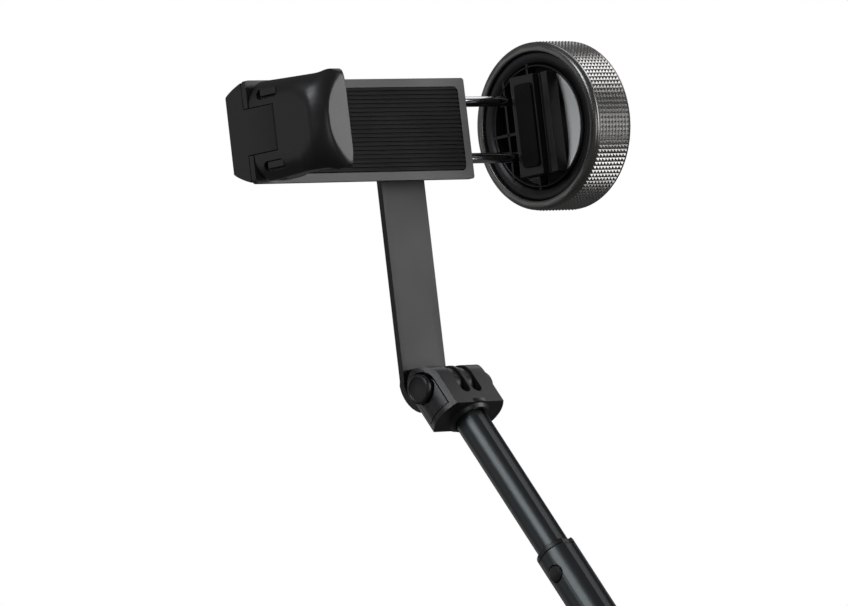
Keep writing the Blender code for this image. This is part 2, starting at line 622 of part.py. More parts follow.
def build_pad(clamp, pocket_half):
    """Rubber pad with ribs running along the clamp, sunk in the front frame."""
    base = PAD_SUNK - GAP
    rise = base - RIB_HEIGHT
    low = -(RIB_COUNT - 1) / 2 * RIB_PITCH
    edge = pocket_half - GAP
    outline = [(base, -edge - 1 * MM)]
    for k in range(RIB_COUNT):
        mid = low + k * RIB_PITCH
        first, last = mid - RIB_WIDTH / 2, mid + RIB_WIDTH / 2
        outline += [(rise, first), (rise - RIB_HEIGHT, first),
                    (rise - RIB_HEIGHT, last), (rise, last)]
    outline[1:1] = [(rise, -edge - 1 * MM)]
    outline += [(rise, edge + 1 * MM), (base, edge + 1 * MM)]
    left, right = PAD_LEFT + GAP, CLAMP_LONG - BORDER_RIGHT - GAP
    pad = node("clamp_pad", prism(outline, left - 1 * MM, right + 1 * MM, "x"), rubber(), clamp)
    plan = prism(rounded_box((left, -edge), (right, edge), [1.4 * MM] * 4), -3 * MM, 3 * MM, "y")
    combine(pad, cutter("pad_plan", plan, clamp), "INTERSECT")


def build_end_block(clamp):
    block = node("end_block", prism(clamp_side(FRONT_PLATE + GAP), 0, END_BLOCK_LONG, "x"),
                 black_plastic(), clamp)
    tongue = rounded_box((0, -TONGUE_OUT), (TONGUE_LONG, 3 * MM),
                         [0.4 * MM, TONGUE_ROUND, 0.01 * MM, 0.01 * MM])
    combine(block, cutter("tongue", prism(tongue, -TONGUE_HALF, TONGUE_HALF), clamp), "UNION")
    bore = turned([(0, 14 * MM), (PIN_R + 0.15 * MM, 14 * MM), (PIN_R + 0.15 * MM, -14 * MM),
                   (0, -14 * MM)], "z", 20)
    combine(block, cutter("tongue_bore_cut", bore, clamp, (PIN_X, -PIN_OUT, 0)))
    pin = turned([(0, PIN_HALF), (PIN_R, PIN_HALF), (PIN_R, -PIN_HALF), (0, -PIN_HALF)], "z", 20)
    node("jaw_pin", pin, steel(), clamp, (PIN_X, -PIN_OUT, 0))


def jaw_half_height(out):
    """Half height of the left jaw at a distance out from the pad: waisted, flared lip."""
    out = out / MM
    if out < 3.7:
        return (11.5 - 3.7 + math.sqrt(max(0.0, 3.7 ** 2 - (3.7 - out) ** 2))) * MM
    waist = 11.5 - 0.35 * math.sin(min(1.0, (out - 3.7) / 15) * math.pi / 2)
    flare = 0.5 * max(0.0, 1 - abs(out - 22.0) / 2.8) ** 1.4
    return (waist + flare) * MM


def jaw_section(out):
    """Outer and inner x of the jaw at a distance out from the pad."""
    o = out / MM
    outer = 0.0 if o < 19 else 2.4 * ((o - 19) / 4.5) ** 2
    inner = 8.6 if o < 8 else 8.6 - 2.6 * math.sin(min(1.0, (o - 8) / 5) * math.pi / 2)
    if o > 15:
        inner += 3.5 * min(1.0, (o - 15) / 7) ** 1.6
    if o < 4.2:
        inner = PIN_X / MM + math.sqrt(max(0.2, 4.6 ** 2 - (PIN_OUT / MM - o) ** 2))
    return outer * MM, min(inner, 9.6) * MM


def jaw_ring(out):
    """Closed section (x, z) of the jaw, with rounded long edges."""
    outer, inner = jaw_section(out)
    half = jaw_half_height(out)
    radius = min(2.6 * MM, (inner - outer) * 0.42)
    return rounded_box((outer, -half), (inner, half), [radius] * 4, 3)


def build_jaw(clamp):
    stations = [0.35, 1.0, 1.8, 2.8, 4.2, 6, 8, 10, 12.5, 15, 17, 18.5, 19.8, 21, 22, 23, 23.5]
    bm = bmesh.new()
    rings = []
    for out in stations:
        rings.append([bm.verts.new((x, -out * MM, z - JAW_LOW)) for x, z in jaw_ring(out * MM)])
    count = len(rings[0])
    for a, b in zip(rings, rings[1:]):
        for i in range(count):
            j = (i + 1) % count
            bm.faces.new((a[i], a[j], b[j], b[i]))
    bm.faces.new(rings[0])
    bm.faces.new(rings[-1])
    jaw = node("left_jaw", bm, black_plastic(), clamp)
    fit = TONGUE_HALF + 0.3 * MM
    notch = prism([(-3 * MM, -fit), (12 * MM, -fit), (12 * MM, fit), (-3 * MM, fit)],
                  -TONGUE_OUT - 0.35 * MM, 2 * MM, "y")
    combine(jaw, cutter("jaw_notch_cut", notch, clamp))
    bore = turned([(0, 14 * MM), (PIN_R + 0.15 * MM, 14 * MM), (PIN_R + 0.15 * MM, -14 * MM),
                   (0, -14 * MM)], "z", 20)
    combine(jaw, cutter("jaw_bore_cut", bore, clamp, (PIN_X, -PIN_OUT, 0)))
    for side, word in ((-1, "low"), (1, "high")):
        z = side * 8.4 * MM
        well = prism([(-9.6 * MM, z - 1.1 * MM), (-2.4 * MM, z - 1.1 * MM),
                      (-2.4 * MM, z + 1.1 * MM), (-9.6 * MM, z + 1.1 * MM)],
                     -1 * MM, 1.6 * MM, "x")
        combine(jaw, cutter(f"jaw_well_{word}", well, clamp))
        insert = prism([(-9.4 * MM, z - 0.9 * MM), (-4.0 * MM, z - 0.9 * MM),
                        (-4.0 * MM, z + 0.9 * MM), (-9.4 * MM, z + 0.9 * MM)],
                       0.35 * MM, 1.4 * MM, "x")
        node(f"jaw_key_{word}", insert, black_plastic(), clamp)
    pad_low, pad_high = 9.4 * MM, 15.0 * MM
    liner = [(-pad_high, -8 * MM), (-pad_low, -8 * MM), (-pad_low, 8 * MM), (-pad_high, 8 * MM)]
    node("left_jaw_liner", prism(liner, 8.75 * MM, 9.35 * MM, "x"), rubber(), clamp)


# ---------------------------------------------------------------- rods and round head
def coil(radius, wire, length, turns, sides=4, per_turn=10):
    """A closed helical spring along x from x = 0."""
    bm = bmesh.new()
    rings = []
    total = turns * per_turn
    for i in range(total + 1):
        angle = math.tau * i / per_turn
        middle = Vector((length * i / total, radius * math.cos(angle), radius * math.sin(angle)))
        outwards = Vector((0, math.cos(angle), math.sin(angle)))
        rings.append([bm.verts.new(middle + outwards * wire * math.cos(math.tau * k / sides)
                                   + Vector((wire * math.sin(math.tau * k / sides), 0, 0)))
                      for k in range(sides)])
    for a, b in zip(rings, rings[1:]):
        for k in range(sides):
            m = (k + 1) % sides
            bm.faces.new((a[k], a[m], b[m], b[k]))
    bm.faces.new(rings[0])
    bm.faces.new(rings[-1])
    return bm


def build_slider(clamp, head):
    for side, word in ((1, "upper"), (-1, "lower")):
        rod = turned([(0, HEAD_X + 2.4 * MM), (ROD_R, HEAD_X + 2.4 * MM), (ROD_R, ROD_START),
                      (0, ROD_START)], "x", 20)
        node(f"rod_{word}", rod, steel(), clamp, (0, ROD_BACK, side * ROD_Z))
        start = BRIDGE_X[1] + 0.5 * MM
        length = CLAMP_LONG - 2.4 * MM - start - 0.5 * MM
        node(f"rod_spring_{word}", coil(SPRING_R, SPRING_WIRE, length, SPRING_TURNS), steel(),
             clamp, (start, ROD_BACK, side * ROD_Z))
    bridge = node("rod_bridge",
                  prism([(2.0 * MM, -8.8 * MM), (5.2 * MM, -8.8 * MM), (5.2 * MM, 8.8 * MM),
                         (2.0 * MM, 8.8 * MM)], *BRIDGE_X, "x"), black_plastic(), clamp)
    for side in (-1, 1):
        hole = turned([(0, 40 * MM), (ROD_R + 0.1 * MM, 40 * MM), (ROD_R + 0.1 * MM, 10 * MM),
                       (0, 10 * MM)], "x", 20)
        combine(bridge, cutter(f"bridge_hole_{side}", hole, clamp, (0, ROD_BACK, side * ROD_Z)))

    build_jaw_bar(clamp)
    build_head(head)


def build_jaw_bar(clamp):
    """Fixed jaw on the head: a bar across the front of the rods, with a ledge before it."""
    back = 1.4 * MM
    bar_end = HEAD_X + 0.3 * MM
    section = [(JAW_BAR_X, back), (JAW_BAR_X, -JAW_BAR_OUT), (JAW_BAR_X + 2.2 * MM, -JAW_BAR_OUT),
               (JAW_BAR_X + 2.2 * MM, -LEDGE_OUT[0]), (JAW_BAR_X + 0.8 * MM, -LEDGE_OUT[0]),
               (JAW_BAR_X + 0.8 * MM, -LEDGE_OUT[1]), (bar_end, -LEDGE_OUT[1]),
               (bar_end, back)]
    bar = node("jaw_bar", prism(section, -CLAMP_HALF, CLAMP_HALF), black_plastic(), clamp)
    round_cut = sleeve([(y, z) for y, z in circle(30 * MM, 48)],
                       [(y, z) for y, z in circle(16.6 * MM, 48)], -2 * MM, 12 * MM)
    bmesh.ops.rotate(round_cut, verts=round_cut.verts[:], cent=(0, 0, 0),
                     matrix=Matrix.Rotation(math.pi / 2, 3, (0, 1, 0)))
    combine(bar, cutter("jaw_bar_round_cut", round_cut, clamp, (82 * MM, -HEAD_OUT, 0)))
    liner = prism(rounded_box((-5.9 * MM, -10 * MM), (-0.4 * MM, 10 * MM), [1 * MM] * 4, 3),
                  JAW_BAR_X - 0.8 * MM, JAW_BAR_X - GAP, "x")
    node("jaw_bar_liner", liner, rubber(), clamp)


def build_head(head):
    """Round head about its own x axis; x = 0 at its left face."""
    bezel = [(BEZEL_IN, BEZEL_THICK), (BEZEL_IN, 0), (HEAD_R - 0.7 * MM, 0),
             (HEAD_R - 0.2 * MM, 0.8 * MM), (HEAD_R - 0.2 * MM, BEZEL_THICK)]
    node("bezel_ring", turned(bezel, "x", 48), grey_metal(), head)
    ring_low = BEZEL_THICK + GAP
    ring_high, ring_in = ring_low + RING_WIDTH, HEAD_R - 1.5 * MM
    ring = [(ring_in, ring_low), (HEAD_R - 0.2 * MM, ring_low), (HEAD_R, ring_low + 0.3 * MM),
            (HEAD_R, ring_high - 0.4 * MM), (HEAD_R - 0.4 * MM, ring_high), (ring_in, ring_high)]
    node("knurled_ring", turned(ring, "x", 48), dark_metal(), head)
    cup_out = ring_in - GAP
    floor, cup_high = 7.4 * MM, 9.8 * MM
    cup = [(0, floor), (12.5 * MM, floor), (DISC_R - 1.2 * MM, floor - 2.0 * MM),
           (DISC_R + 0.2 * MM, 0.5 * MM + DISC_THICK), (DISC_R + 0.2 * MM, ring_low),
           (cup_out, ring_low), (cup_out, cup_high), (0, cup_high)]
    node("head_shell", turned(cup, "x", 40), black_plastic(), head)
    cover_low = ring_high + GAP
    cover = [(0, cup_high + GAP), (cup_out, cup_high + GAP), (cup_out, cover_low),
             (HEAD_R - 0.5 * MM, cover_low), (HEAD_R - 0.8 * MM, cover_low + 0.4 * MM),
             (HEAD_R - 3 * MM, cover_low + 0.9 * MM), (HEAD_R - 9 * MM, cover_low + 1.2 * MM),
             (0, cover_low + 1.3 * MM)]
    node("head_cover", turned(cover, "x", 40), black_plastic(), head)
    build_rib_disc(head)


def build_rib_disc(head):
    """Open ribbed disc inside the bezel, with the bosses that hold the rods."""
    near, far = 0.5 * MM, 0.5 * MM + DISC_THICK
    disc = turned([(0, far), (DISC_R, far), (DISC_R, near), (0, near)], "x", 40)
    plate = node("rib_disc", disc, black_plastic(), head)
    # windows as (front edge, back edge, low, high) in the head's own y (backwards) and z
    upper = [(1.6, 4.2, 0.9, 5.4), (5.2, 10.8, 0.9, 5.4), (-1.6, 4.2, 12.9, 15.3),
             (-8.4, -2.6, 12.9, 15.0), (5.4, 9.8, 8.6, 12.0)]
    lower = [(y0, y1, -z1, -z0) for y0, y1, z0, z1 in upper]
    for k, (y0, y1, z0, z1) in enumerate(upper + lower):
        hole = prism(rounded_box((y0 * MM, z0 * MM), (y1 * MM, z1 * MM), [0.4 * MM] * 4, 2),
                     -2 * MM, 8 * MM, "x")
        combine(plate, cutter(f"disc_window_{k}", hole, head))
    for side in (-1, 1):
        hole = turned([(0, 10 * MM), (ROD_R + 0.15 * MM, 10 * MM), (ROD_R + 0.15 * MM, -5 * MM),
                       (0, -5 * MM)], "x", 20)
        combine(plate, cutter(f"disc_rod_cut_{side}", hole, head,
                              (0, ROD_BACK + HEAD_OUT, side * ROD_Z)))


# ---------------------------------------------------------------- assembly
def main():
    clear_scene()
    build_handle()
    build_remote()
    build_pole()
    fork = empty("fork_axis", (0, 0, HINGE_Z))
    tilt = empty("tilt_axis", (0, 0, HINGE_Z), None, HEAD_TILT)
    clamp = empty("clamp_origin", (-ARM_X, 0, CLAMP_RISE), tilt)
    head = empty("head_axis", (HEAD_X, -HEAD_OUT, 0), clamp)
    bpy.context.view_layer.update()
    build_fork(fork)
    build_arm(tilt)
    build_clamp(clamp)
    build_jaw(clamp)
    build_slider(clamp, head)


main()
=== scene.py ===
import json
import math

import bmesh
import bpy
from mathutils import Matrix, Vector


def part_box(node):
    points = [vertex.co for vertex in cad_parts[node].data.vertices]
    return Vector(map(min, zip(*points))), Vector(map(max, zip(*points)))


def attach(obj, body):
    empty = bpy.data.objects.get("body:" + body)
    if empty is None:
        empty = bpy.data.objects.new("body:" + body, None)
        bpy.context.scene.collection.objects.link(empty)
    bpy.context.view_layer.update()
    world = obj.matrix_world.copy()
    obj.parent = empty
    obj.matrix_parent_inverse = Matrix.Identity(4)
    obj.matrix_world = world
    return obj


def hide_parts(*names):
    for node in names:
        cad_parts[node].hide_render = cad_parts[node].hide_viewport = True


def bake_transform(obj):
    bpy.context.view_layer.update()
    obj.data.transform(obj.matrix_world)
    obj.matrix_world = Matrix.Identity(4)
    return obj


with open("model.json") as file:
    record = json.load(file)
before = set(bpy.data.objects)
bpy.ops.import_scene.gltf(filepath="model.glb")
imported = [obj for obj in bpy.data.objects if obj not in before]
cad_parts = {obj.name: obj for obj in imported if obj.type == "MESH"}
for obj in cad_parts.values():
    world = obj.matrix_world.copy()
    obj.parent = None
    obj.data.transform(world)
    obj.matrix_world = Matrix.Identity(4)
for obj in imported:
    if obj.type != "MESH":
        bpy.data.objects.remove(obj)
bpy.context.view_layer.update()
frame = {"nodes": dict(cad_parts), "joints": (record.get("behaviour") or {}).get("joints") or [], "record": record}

MM = 0.001
JOINTS = {joint["name"]: joint for joint in frame["joints"]}
PARTS = frame["nodes"]
BODY_OF = {part: body for body, parts in frame["record"]["behaviour"]["bodies"].items()
           for part in parts}

# ---------------------------------------------------------------- places, from the frame
PIN_X, PIN_OUT = 4.0 * MM, 5.0 * MM         # jaw pin from the clamp's left end and pad face
HEAD_X, HEAD_OUT = 92.3 * MM, 1.4 * MM      # head's front face, in the clamp's axes
HINGE = Vector(JOINTS["arm_tilt"]["pos_m"])
CLAMP_UP = Vector(JOINTS["jaw_fold"]["axis"]).normalized()
CLAMP_OUT = Vector(JOINTS["clamp_turn"]["axis"]).normalized()
ACROSS = Vector((1, 0, 0))
CLAMP_ZERO = Vector(JOINTS["jaw_fold"]["pos_m"]) - ACROSS * PIN_X - CLAMP_OUT * PIN_OUT

TURN = Matrix((ACROSS, -CLAMP_OUT, CLAMP_UP)).transposed().to_4x4()
CLAMP = Matrix.Translation(CLAMP_ZERO) @ TURN
HEAD = CLAMP @ Matrix.Translation((HEAD_X, -HEAD_OUT, 0))
WORLD = Matrix.Identity(4)

# ---------------------------------------------------------------- sizes
JAW_TIP, JAW_HALF = 23.5, 11.5
JAW_FLARE = 21.9                            # where the lip is widest
JAW_ROUND = 2.8                             # round corner at the jaw's root
JAW_LOW = 0.3                               # jaw's middle below the clamp's centre line
TONGUE_HALF, TONGUE_OUT = 5.3, 8.1
HEAD_R = 20.2
RING_START, RING_WIDTH = 1.4, 10.5
KNURL_COLUMNS, KNURL_ROWS = 9, 116
KNURL_DEPTH = 0.38
ROD_BACK, ROD_Z = 3.2, 6.75
FORK_R, FORK_DROP, FORK_HALF, FORK_BULGE = 5.25, 8.8, 7.7, 2.0
SLOT_X, SLOT_HALF, SLOT_DROP = 1.9, 1.45, 5.6
TUBE_1_R = 3.9
WELD = 0.002                                # points closer than this become one
SHARP_ANGLE = 34                            # edges bent more than this are usually rounded, in degrees


# ---------------------------------------------------------------- materials
NOISE_LOW, NOISE_HIGH = 0.3, 0.7            # the part of a noise's range that is used


def start_material(name, colour, roughness, metallic):
    made = bpy.data.materials.new(name)
    made.use_nodes = True
    tree = made.node_tree
    shader = tree.nodes["Principled BSDF"]
    shader.inputs["Base Color"].default_value = (*colour, 1)
    shader.inputs["Roughness"].default_value = roughness
    shader.inputs["Metallic"].default_value = metallic
    return made, tree, shader


def place_noise(tree, scale, detail, stretch):
    """Noise fixed to the object's own space, in cells per metre."""
    where = tree.nodes.new("ShaderNodeTexCoord")
    mapping = tree.nodes.new("ShaderNodeMapping")
    mapping.inputs["Scale"].default_value = stretch
    noise = tree.nodes.new("ShaderNodeTexNoise")
    noise.inputs["Scale"].default_value = scale
    noise.inputs["Detail"].default_value = detail
    tree.links.new(where.outputs["Object"], mapping.inputs["Vector"])
    tree.links.new(mapping.outputs["Vector"], noise.inputs["Vector"])
    return noise


def ramp(tree, source, low, high, low_colour, high_colour):
    made = tree.nodes.new("ShaderNodeValToRGB")
    made.color_ramp.elements[0].position = low
    made.color_ramp.elements[1].position = high
    made.color_ramp.elements[0].color = (*low_colour, 1)
    made.color_ramp.elements[1].color = (*high_colour, 1)
    tree.links.new(source, made.inputs["Fac"])
    return made


def spread(tree, source, low, high):
    """Maps a noise value to a range."""
    made = tree.nodes.new("ShaderNodeMapRange")
    made.inputs["From Min"].default_value = NOISE_LOW
    made.inputs["From Max"].default_value = NOISE_HIGH
    made.inputs["To Min"].default_value = low
    made.inputs["To Max"].default_value = high
    tree.links.new(source, made.inputs["Value"])
    return made.outputs["Result"]


def finish(name, colour, roughness, metallic=0.0, grain=(2600, 0.12, 0.012), patch=90,
           shift=0.14, swing=0.06, stretch=(1, 1, 1), specular=0.5, coat=0.0):
    """A surface with its own grain, broad uneven gloss and slight colour shift.

    grain is (cells per metre, bump strength, bump depth in mm); patch is the size of the
    broad variation in cells per metre; shift and swing are how far colour and roughness vary.
    """
    made, tree, shader = start_material(name, colour, roughness, metallic)
    shader.inputs["Specular IOR Level"].default_value = specular
    shader.inputs["Coat Weight"].default_value = coat
    broad = place_noise(tree, patch, 4.0, stretch)
    dark = [c * (1 - shift) for c in colour]
    light = [min(1.0, c * (1 + shift)) for c in colour]
    tint = ramp(tree, broad.outputs["Fac"], NOISE_LOW, NOISE_HIGH, dark, light)
    tree.links.new(tint.outputs["Color"], shader.inputs["Base Color"])
    fine = place_noise(tree, grain[0], 2.0, stretch)
    blend = tree.nodes.new("ShaderNodeMath")
    blend.operation = "MULTIPLY_ADD"
    blend.inputs[1].default_value = 0.5
    tree.links.new(fine.outputs["Fac"], blend.inputs[0])
    half = tree.nodes.new("ShaderNodeMath")
    half.operation = "MULTIPLY"
    half.inputs[1].default_value = 0.5
    tree.links.new(broad.outputs["Fac"], half.inputs[0])
    tree.links.new(half.outputs["Value"], blend.inputs[2])
    gloss = spread(tree, blend.outputs["Value"], roughness - swing, roughness + swing)
    tree.links.new(gloss, shader.inputs["Roughness"])
    bump = tree.nodes.new("ShaderNodeBump")
    bump.inputs["Strength"].default_value = grain[1]
    bump.inputs["Distance"].default_value = grain[2] * MM
    tree.links.new(fine.outputs["Fac"], bump.inputs["Height"])
    tree.links.new(bump.outputs["Normal"], shader.inputs["Normal"])
    return made


ALONG_POLE = (1, 1, 0.04)                   # streaks that run along the pole
FINISH = {
    "black_plastic": finish("satin_black_plastic", (0.010, 0.010, 0.011), 0.38),
    "bar_plastic": finish("bar_satin_plastic", (0.012, 0.012, 0.013), 0.38, specular=0.32),
    "deep_plastic": finish("inner_black_plastic", (0.007, 0.007, 0.008), 0.42),
    "jaw_plastic": finish("jaw_black_plastic", (0.011, 0.011, 0.0115), 0.34,
                          grain=(2200, 0.3, 0.02)),
    "clamp_metal": finish("clamp_back_coating", (0.018, 0.018, 0.02), 0.42, 0.3),
    "tube_metal": finish("tube_anodised", (0.062, 0.067, 0.069), 0.36, 0.8,
                         grain=(900, 0.02, 0.002), stretch=ALONG_POLE, shift=0.04, swing=0.015),
    "frame_metal": finish("frame_grey_anodised", (0.03, 0.03, 0.031), 0.42, 0.25,
                          grain=(4200, 0.35, 0.012)),
    "arm_metal": finish("arm_grey_anodised", (0.022, 0.022, 0.023), 0.46, 0.1,
                        grain=(4200, 0.35, 0.012), specular=0.4),
    "ring_metal": finish("knurl_grey_metal", (0.3, 0.296, 0.288), 0.3, 0.9,
                         grain=(2600, 0.1, 0.01)),
    "bezel_metal": finish("bezel_satin_metal", (0.2, 0.197, 0.19), 0.27, 0.9,
                          grain=(4200, 0.2, 0.01)),
    "chrome": finish("rod_chrome", (0.55, 0.55, 0.57), 0.12, 1.0, grain=(1500, 0.08, 0.004),
                     shift=0.05, swing=0.04),
    "screw_steel": finish("screw_steel", (0.38, 0.38, 0.39), 0.28, 1.0, grain=(2600, 0.2, 0.006)),
    "rubber": finish("matt_rubber", (0.005, 0.005, 0.005), 0.6, grain=(3200, 0.5, 0.03),
                     specular=0.16),
    "board": finish("circuit_board", (0.02, 0.11, 0.05), 0.35, patch=400, shift=0.4, coat=0.3),
}


# ---------------------------------------------------------------- mesh helpers
def circle(radius, steps):
    return [(radius * math.cos(math.tau * k / steps), radius * math.sin(math.tau * k / steps))
            for k in range(steps)]


def ring_faces(bm, rings, close=True):
    """Skins a list of equally long vertex loops and caps both ends."""
    count = len(rings[0])
    for a, b in zip(rings, rings[1:]):
        for i in range(count):
            j = (i + 1) % count
            bm.faces.new((a[i], a[j], b[j], b[i]))
    if close:
        bm.faces.new(rings[0])
        bm.faces.new(rings[-1])
    return bm


def prism(outline, low, high, axis="z"):
    order = {"x": lambda a, b, c: (c, a, b), "y": lambda a, b, c: (a, c, b),
             "z": lambda a, b, c: (a, b, c)}[axis]
    bm = bmesh.new()
    rings = [[bm.verts.new(Vector(order(a, b, c)) * MM) for a, b in outline] for c in (low, high)]
    return ring_faces(bm, rings)


def turned(profile, axis="z", steps=64):
    """A ring turned from a closed profile of (radius, height) in mm, off the axis."""
    bm = bmesh.new()
    rings = []
    for k in range(steps):
        angle = math.tau * k / steps
        c, s = math.cos(angle), math.sin(angle)
        place = {"x": lambda r, h: (h, r * c, r * s), "y": lambda r, h: (r * c, h, r * s),
                 "z": lambda r, h: (r * c, r * s, h)}[axis]
        rings.append([bm.verts.new(Vector(place(r, h)) * MM) for r, h in profile])
    ring_faces(bm, rings + rings[:1], close=False)
    return bm


def rounded_box(low, high, radius, steps=5):
    """Outline of a rectangle with round corners."""
    points = []
    corners = ((low[0] + radius, low[1] + radius, 180), (high[0] - radius, low[1] + radius, 270),
               (high[0] - radius, high[1] - radius, 0), (low[0] + radius, high[1] - radius, 90))
    for x, y, start in corners:
        for k in range(steps + 1):
            angle = math.radians(start + 90 * k / steps)
            points.append((x + radius * math.cos(angle), y + radius * math.sin(angle)))
    return points


def as_object(name, bm, matrix=WORLD):
    bmesh.ops.recalc_face_normals(bm, faces=bm.faces[:])
    mesh = bpy.data.meshes.new(name)
    bm.to_mesh(mesh)
    bm.free()
    mesh.transform(matrix)
    made = bpy.data.objects.new(name, mesh)
    bpy.context.collection.objects.link(made)
    return made


def carve(target, bm, matrix=WORLD, how="DIFFERENCE"):
    """Cuts, adds or intersects a shape, and keeps the result as the piece's own mesh."""
    tool = as_object("tool", bm, matrix)
    step = target.modifiers.new("carve", "BOOLEAN")
    step.operation = how
    step.solver = "MANIFOLD"
    step.object = tool
    graph = bpy.context.evaluated_depsgraph_get()
    result = bpy.data.meshes.new_from_object(target.evaluated_get(graph))
    target.modifiers.remove(step)
    old = target.data
    target.data = result
    bpy.data.meshes.remove(old)
    bpy.data.objects.remove(tool)


def soften(made, width, segments=2, angle=SHARP_ANGLE, even=False):
    """Rounds the edges of a piece and shades it smooth; even keeps its broad faces flat."""
    mesh = made.data
    bm = bmesh.new()
    bm.from_mesh(mesh)
    bmesh.ops.remove_doubles(bm, verts=bm.verts, dist=WELD * MM)
    bmesh.ops.dissolve_limit(bm, angle_limit=math.radians(1.2), verts=bm.verts, edges=bm.edges)
    bm.to_mesh(mesh)
    bm.free()
    mesh.shade_smooth()
    mesh.set_sharp_from_angle(angle=math.radians(angle))
    if width:
        step = made.modifiers.new("edges", "BEVEL")
        step.width = width * MM
        step.segments = segments
        step.limit_method = "ANGLE"
        step.angle_limit = math.radians(angle)
        step.harden_normals = True
        step.miter_outer = "MITER_ARC"
    if even:
        level = made.modifiers.new("flat_faces", "WEIGHTED_NORMAL")
        level.keep_sharp = True
        level.weight = 90


def dress(made, node, material, others=()):
    """Puts a piece in a node's place: its body and its material."""
    made.data.materials.clear()
    made.data.materials.append(FINISH[material])
    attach(made, BODY_OF[node])
    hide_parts(node, *others)


def fine_copy(node, width, segments, angle):
    """A CAD node's shape with rounded edges and smooth round faces."""
    source = PARTS[node].data
    bm = bmesh.new()
    bm.from_mesh(source)
    for layer in list(bm.loops.layers.uv.values()):
        bm.loops.layers.uv.remove(layer)
    mesh = bpy.data.meshes.new(node + "_fine")
    bmesh.ops.remove_doubles(bm, verts=bm.verts, dist=WELD * MM)
    bm.verts.index_update()
    points = [v.co[:] for v in bm.verts]
    faces = [[v.index for v in face.verts] for face in bm.faces]
    mesh.from_pydata(points, [], faces)
    bm.free()
    made = bpy.data.objects.new(node + "_fine", mesh)
    bpy.context.collection.objects.link(made)
    soften(made, width, segments, angle)
    return made


def refine(node, material, width=0.15, segments=2, angle=SHARP_ANGLE):
    """Puts the fine copy of a CAD node in its place."""
    dress(fine_copy(node, width, segments, angle), node, material)


def stretch_spring(node, material):
    """A spring between the clamp's end and the sliding bridge, copied once and fixed where it stands."""
    made = fine_copy(node, 0, 2, SHARP_ANGLE)
    made.data.materials.append(FINISH[material])
    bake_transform(made)
    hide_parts(node)


# ---------------------------------------------------------------- left jaw
def ease(value):
    value = max(0.0, min(1.0, value))
    return value * value * (3 - 2 * value)


def jaw_half(out):
    """Half height of the jaw: round base, slight waist, flared lip."""
    if out < JAW_ROUND:
        return JAW_HALF - JAW_ROUND + math.sqrt(JAW_ROUND ** 2 - (JAW_ROUND - out) ** 2)
    waist = JAW_HALF - 0.5 * ease((out - JAW_ROUND) / 14)
    flare = 0.6 * math.exp(-((out - JAW_FLARE) / 1.5) ** 2)
    nose = min(1.0, max(0.0, (out - JAW_FLARE) / (JAW_TIP + 0.05 - JAW_FLARE)))
    return waist + flare - 1.5 * (1 - math.sqrt(1 - nose ** 2))


def jaw_loop(bm, out, shrink=0.0, steps=22):
    """One closed loop round the jaw: bowed outer side, then flatter inner side."""
    half = jaw_half(out) - shrink
    lip = ease((out - 14) / 9)
    outer = 2.4 * max(0.0, (out - 19) / 4.5) ** 2 + shrink
    inner = 8.6 - 2.3 * ease((out - 8) / 5) + 3.2 * ease((out - 15.5) / 6.5)
    if out < PIN_OUT / MM:
        inner = PIN_X / MM + math.sqrt(max(0.2, 4.6 ** 2 - (PIN_OUT / MM - out) ** 2)) - 0.01
    inner -= shrink
    drop = 2.3 + (5.0 - 2.3) * lip
    power = 7.5 - (7.5 - 2.4) * lip
    lead = 1.3 * (1 - lip) + 0.5 * lip
    side = []
    for k in range(steps + 1):
        z = math.sin(math.pi * (k / steps - 0.5))
        side.append((outer + drop * abs(z) ** power, half * z))
    back = []
    for k in range(steps + 1):
        z = math.sin(math.pi * (0.5 - k / steps))
        back.append((inner - lead * abs(z) ** 9, half * z))
    return [bm.verts.new(Vector((x, -out, z - JAW_LOW)) * MM) for x, z in side + back]


def build_jaw():
    bm = bmesh.new()
    base = [0.35, 0.6, 1.0, 1.5, 2.1, 2.8, 3.6, 4.5, 5.5]
    shank = [6 + k for k in range(12)]
    lip = [17.6 + 0.45 * k for k in range(12)]
    rings = [jaw_loop(bm, out) for out in base + shank + lip]
    rings += [jaw_loop(bm, 22.9), jaw_loop(bm, 23.2, 0.08), jaw_loop(bm, 23.4, 0.25),
              jaw_loop(bm, JAW_TIP, 0.5)]
    jaw = as_object("left_jaw_body", ring_faces(bm, rings), CLAMP)
    fit = TONGUE_HALF + 0.18
    notch = [(-3, -fit), (12, -fit), (12, fit), (-3, fit)]
    carve(jaw, prism(notch, -TONGUE_OUT - 0.25, 2, "y"), CLAMP)
    for side in (-1, 1):
        middle = side * 8.35 - JAW_LOW
        window = rounded_box((-9.8, middle - 1.2), (-3.0, middle + 1.2), 1.15)
        carve(jaw, prism(window, -1, 1.7, "x"), CLAMP)
    bore = prism([(PIN_X / MM + x, -PIN_OUT / MM + y) for x, y in circle(1.0, 24)], -14, 14)
    carve(jaw, bore, CLAMP)
    soften(jaw, 0.14, 2, 40, even=True)
    dress(jaw, "left_jaw", "jaw_plastic")
    for word in ("low", "high"):
        refine(f"jaw_key_{word}", "jaw_plastic", 0.25, 3)
    refine("left_jaw_liner", "rubber", 0.15)
    refine("jaw_pin", "screw_steel", 0.15)


